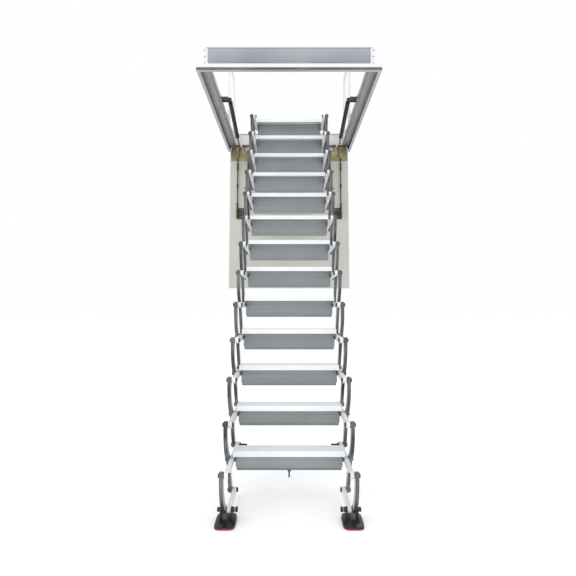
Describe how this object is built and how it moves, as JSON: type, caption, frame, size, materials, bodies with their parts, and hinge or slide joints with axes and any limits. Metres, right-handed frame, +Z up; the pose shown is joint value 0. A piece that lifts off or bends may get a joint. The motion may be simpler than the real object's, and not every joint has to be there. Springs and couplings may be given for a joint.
{
  "type": "attic ladder",
  "caption": "Ceiling hatch with a drop-down door and a scissor attic ladder of hinged arms and treads, grab rails, gas struts and feet.",
  "frame": {"origin": "centre of the hatch frame on the underside of its trim ring, which is the centre of the ceiling screw pattern", "axes": "+Z up, +Y towards the hatch hinge, -Y towards the feet, +X to the right seen from the feet"},
  "size_m": [1.066, 1.8629, 2.917],
  "materials": {
    "white_powder_coat": "satin white powder coat",
    "cream_board": "cream painted board",
    "zinc_plate": "yellow passivated zinc",
    "grey_tread": "grey ribbed aluminium, white nosing",
    "dark_steel": "dark satin paint",
    "bronze_steel": "dark bronze",
    "foot_plastic": "moulded black plastic",
    "sole_rubber": "red rubber"
  },
  "bodies": {
    "frame": {"trim_ring": "white_powder_coat", "box_walls": "white_powder_coat", "box_rim": "white_powder_coat", "corner_posts": "white_powder_coat", "hinge_lugs": "zinc_plate", "strut_brackets": "white_powder_coat", "grab_rails": "white_powder_coat"},
    "hatch": {"door_panel": "cream_board", "door_edging": "white_powder_coat", "hinge_plates": "zinc_plate", "swing_arms": "zinc_plate", "door_brackets": "bronze_steel", "stay_rods": "dark_steel"},
    "strut_tubes": {"strut_tubes": "dark_steel"},
    "strut_rods": {"strut_rods": "dark_steel"},
    "step_1": {"tread_1": "grey_tread", "arms_1": "white_powder_coat"},
    "links_1": {"links_1": "white_powder_coat"},
    "step_2": {"tread_2": "grey_tread", "arms_2": "white_powder_coat"},
    "links_2": {"links_2": "white_powder_coat"},
    "step_3": {"tread_3": "grey_tread", "arms_3": "white_powder_coat"},
    "links_3": {"links_3": "white_powder_coat"},
    "step_4": {"tread_4": "grey_tread", "arms_4": "white_powder_coat"},
    "links_4": {"links_4": "white_powder_coat"},
    "step_5": {"tread_5": "grey_tread", "arms_5": "white_powder_coat"},
    "links_5": {"links_5": "white_powder_coat"},
    "step_6": {"tread_6": "grey_tread", "arms_6": "white_powder_coat"},
    "links_6": {"links_6": "white_powder_coat"},
    "step_7": {"tread_7": "grey_tread", "arms_7": "white_powder_coat"},
    "links_7": {"links_7": "white_powder_coat"},
    "step_8": {"tread_8": "grey_tread", "arms_8": "white_powder_coat"},
    "links_8": {"links_8": "white_powder_coat"},
    "step_9": {"tread_9": "grey_tread", "arms_9": "white_powder_coat"},
    "links_9": {"links_9": "white_powder_coat"},
    "step_10": {"tread_10": "grey_tread", "arms_10": "white_powder_coat"},
    "links_10": {"links_10": "white_powder_coat"},
    "step_11": {"tread_11": "grey_tread", "arms_11": "white_powder_coat"},
    "links_11": {"links_11": "white_powder_coat"},
    "step_12": {"tread_12": "grey_tread", "arms_12": "white_powder_coat"},
    "links_12": {"links_12": "white_powder_coat"},
    "step_13": {"tread_13": "grey_tread", "arms_13": "white_powder_coat", "hook": "dark_steel"},
    "links_13": {"links_13": "white_powder_coat"},
    "links_14": {"links_14": "white_powder_coat"},
    "short_links": {"short_links": "white_powder_coat"},
    "feet": {"foot_bodies": "foot_plastic", "foot_soles": "sole_rubber"}
  },
  "joints": [
    {"name": "hatch_swing", "type": "hinge", "parent": "frame", "child": "hatch", "pos_m": [0, 0.597, -0.006], "axis": [-1, 0, 0], "range_deg": [0, 28]},
    {"name": "strut_tilt", "type": "hinge", "parent": "frame", "child": "strut_tubes", "pos_m": [0, -0.033, 0.13], "axis": [-1, 0, 0], "range_deg": [-3, 0]},
    {"name": "strut_slide", "type": "slide", "parent": "strut_tubes", "child": "strut_rods", "axis": [0, 0.9787, -0.2052], "range_m": [0, 0.012]},
    {"name": "ladder_fold", "type": "hinge", "parent": "hatch", "child": "step_4", "pos_m": [0, 0.28967, -0.41716], "axis": [-1, 0, 0], "range_deg": [0, 24.4]},
    {"name": "cross_4", "type": "hinge", "parent": "step_4", "child": "links_4", "pos_m": [0, 0.08767, -0.41716], "axis": [-1, 0, 0], "range_deg": [-49, 0]},
    {"name": "rear_4", "type": "hinge", "parent": "links_4", "child": "step_5", "pos_m": [0, 0.1679, -0.60255], "axis": [-1, 0, 0], "range_deg": [0, 49]},
    {"name": "cross_5", "type": "hinge", "parent": "step_5", "child": "links_5", "pos_m": [0, -0.0341, -0.60255], "axis": [-1, 0, 0], "range_deg": [-49, 0]},
    {"name": "rear_5", "type": "hinge", "parent": "links_5", "child": "step_6", "pos_m": [0, 0.04612, -0.78793], "axis": [-1, 0, 0], "range_deg": [0, 49]},
    {"name": "cross_6", "type": "hinge", "parent": "step_6", "child": "links_6", "pos_m": [0, -0.15588, -0.78793], "axis": [-1, 0, 0], "range_deg": [-49, 0]},
    {"name": "rear_6", "type": "hinge", "parent": "links_6", "child": "step_7", "pos_m": [0, -0.07566, -0.97332], "axis": [-1, 0, 0], "range_deg": [0, 49]},
    {"name": "cross_7", "type": "hinge", "parent": "step_7", "child": "links_7", "pos_m": [0, -0.27766, -0.97332], "axis": [-1, 0, 0], "range_deg": [-49, 0]},
    {"name": "rear_7", "type": "hinge", "parent": "links_7", "child": "step_8", "pos_m": [0, -0.19743, -1.15871], "axis": [-1, 0, 0], "range_deg": [0, 49]},
    {"name": "cross_8", "type": "hinge", "parent": "step_8", "child": "links_8", "pos_m": [0, -0.39943, -1.15871], "axis": [-1, 0, 0], "range_deg": [-49, 0]},
    {"name": "rear_8", "type": "hinge", "parent": "links_8", "child": "step_9", "pos_m": [0, -0.31921, -1.34409], "axis": [-1, 0, 0], "range_deg": [0, 49]},
    {"name": "cross_9", "type": "hinge", "parent": "step_9", "child": "links_9", "pos_m": [0, -0.52121, -1.34409], "axis": [-1, 0, 0], "range_deg": [-49, 0]},
    {"name": "rear_9", "type": "hinge", "parent": "links_9", "child": "step_10", "pos_m": [0, -0.44099, -1.52948], "axis": [-1, 0, 0], "range_deg": [0, 49]},
    {"name": "cross_10", "type": "hinge", "parent": "step_10", "child": "links_10", "pos_m": [0, -0.64299, -1.52948], "axis": [-1, 0, 0], "range_deg": [-49, 0]},
    {"name": "rear_10", "type": "hinge", "parent": "links_10", "child": "step_11", "pos_m": [0, -0.56276, -1.71486], "axis": [-1, 0, 0], "range_deg": [0, 49]},
    {"name": "cross_11", "type": "hinge", "parent": "step_11", "child": "links_11", "pos_m": [0, -0.76476, -1.71486], "axis": [-1, 0, 0], "range_deg": [-49, 0]},
    {"name": "rear_11", "type": "hinge", "parent": "links_11", "child": "step_12", "pos_m": [0, -0.68454, -1.90025], "axis": [-1, 0, 0], "range_deg": [0, 49]},
    {"name": "cross_12", "type": "hinge", "parent": "step_12", "child": "links_12", "pos_m": [0, -0.88654, -1.90025], "axis": [-1, 0, 0], "range_deg": [-49, 0]},
    {"name": "rear_12", "type": "hinge", "parent": "links_12", "child": "step_13", "pos_m": [0, -0.80631, -2.08564], "axis": [-1, 0, 0], "range_deg": [0, 49]},
    {"name": "cross_13", "type": "hinge", "parent": "step_13", "child": "links_13", "pos_m": [0, -1.00831, -2.08564], "axis": [-1, 0, 0], "range_deg": [-49, 0]},
    {"name": "rear_13", "type": "hinge", "parent": "links_13", "child": "short_links", "pos_m": [0, -0.92809, -2.27102], "axis": [-1, 0, 0], "range_deg": [0, 49]},
    {"name": "front_13", "type": "hinge", "parent": "step_13", "child": "links_14", "pos_m": [0, -1.21031, -2.08564], "axis": [-1, 0, 0], "range_deg": [-49, 0]},
    {"name": "rear_3", "type": "hinge", "parent": "step_4", "child": "links_3", "pos_m": [0, 0.28967, -0.41716], "axis": [-1, 0, 0], "range_deg": [-49, 0]},
    {"name": "cross_3", "type": "hinge", "parent": "links_3", "child": "step_3", "pos_m": [0, 0.20945, -0.23177], "axis": [-1, 0, 0], "range_deg": [0, 49]},
    {"name": "rear_2", "type": "hinge", "parent": "step_3", "child": "links_2", "pos_m": [0, 0.41145, -0.23177], "axis": [-1, 0, 0], "range_deg": [-49, 0]},
    {"name": "cross_2", "type": "hinge", "parent": "links_2", "child": "step_2", "pos_m": [0, 0.33122, -0.04639], "axis": [-1, 0, 0], "range_deg": [0, 49]},
    {"name": "rear_1", "type": "hinge", "parent": "step_2", "child": "links_1", "pos_m": [0, 0.53322, -0.04639], "axis": [-1, 0, 0], "range_deg": [-49, 0]},
    {"name": "cross_1", "type": "hinge", "parent": "links_1", "child": "step_1", "pos_m": [0, 0.453, 0.139], "axis": [-1, 0, 0], "range_deg": [0, 49]},
    {"name": "foot_tilt", "type": "hinge", "parent": "short_links", "child": "feet", "pos_m": [0, -1.13009, -2.27102], "axis": [-1, 0, 0], "range_deg": [-10, 10]}
  ],
  "couplings": [
    {"joint": "strut_tilt", "follows": "hatch_swing", "ratio": -0.081326},
    {"joint": "strut_slide", "follows": "hatch_swing", "m_per_rad": 0.017089},
    {"joint": "cross_4", "follows": "ladder_fold", "ratio": -2},
    {"joint": "rear_4", "follows": "ladder_fold", "ratio": 2},
    {"joint": "cross_5", "follows": "ladder_fold", "ratio": -2},
    {"joint": "rear_5", "follows": "ladder_fold", "ratio": 2},
    {"joint": "cross_6", "follows": "ladder_fold", "ratio": -2},
    {"joint": "rear_6", "follows": "ladder_fold", "ratio": 2},
    {"joint": "cross_7", "follows": "ladder_fold", "ratio": -2},
    {"joint": "rear_7", "follows": "ladder_fold", "ratio": 2},
    {"joint": "cross_8", "follows": "ladder_fold", "ratio": -2},
    {"joint": "rear_8", "follows": "ladder_fold", "ratio": 2},
    {"joint": "cross_9", "follows": "ladder_fold", "ratio": -2},
    {"joint": "rear_9", "follows": "ladder_fold", "ratio": 2},
    {"joint": "cross_10", "follows": "ladder_fold", "ratio": -2},
    {"joint": "rear_10", "follows": "ladder_fold", "ratio": 2},
    {"joint": "cross_11", "follows": "ladder_fold", "ratio": -2},
    {"joint": "rear_11", "follows": "ladder_fold", "ratio": 2},
    {"joint": "cross_12", "follows": "ladder_fold", "ratio": -2},
    {"joint": "rear_12", "follows": "ladder_fold", "ratio": 2},
    {"joint": "cross_13", "follows": "ladder_fold", "ratio": -2},
    {"joint": "rear_13", "follows": "ladder_fold", "ratio": 2},
    {"joint": "front_13", "follows": "ladder_fold", "ratio": -2},
    {"joint": "rear_3", "follows": "ladder_fold", "ratio": -2},
    {"joint": "cross_3", "follows": "ladder_fold", "ratio": 2},
    {"joint": "rear_2", "follows": "ladder_fold", "ratio": -2},
    {"joint": "cross_2", "follows": "ladder_fold", "ratio": 2},
    {"joint": "rear_1", "follows": "ladder_fold", "ratio": -2},
    {"joint": "cross_1", "follows": "ladder_fold", "ratio": 2}
  ]
}
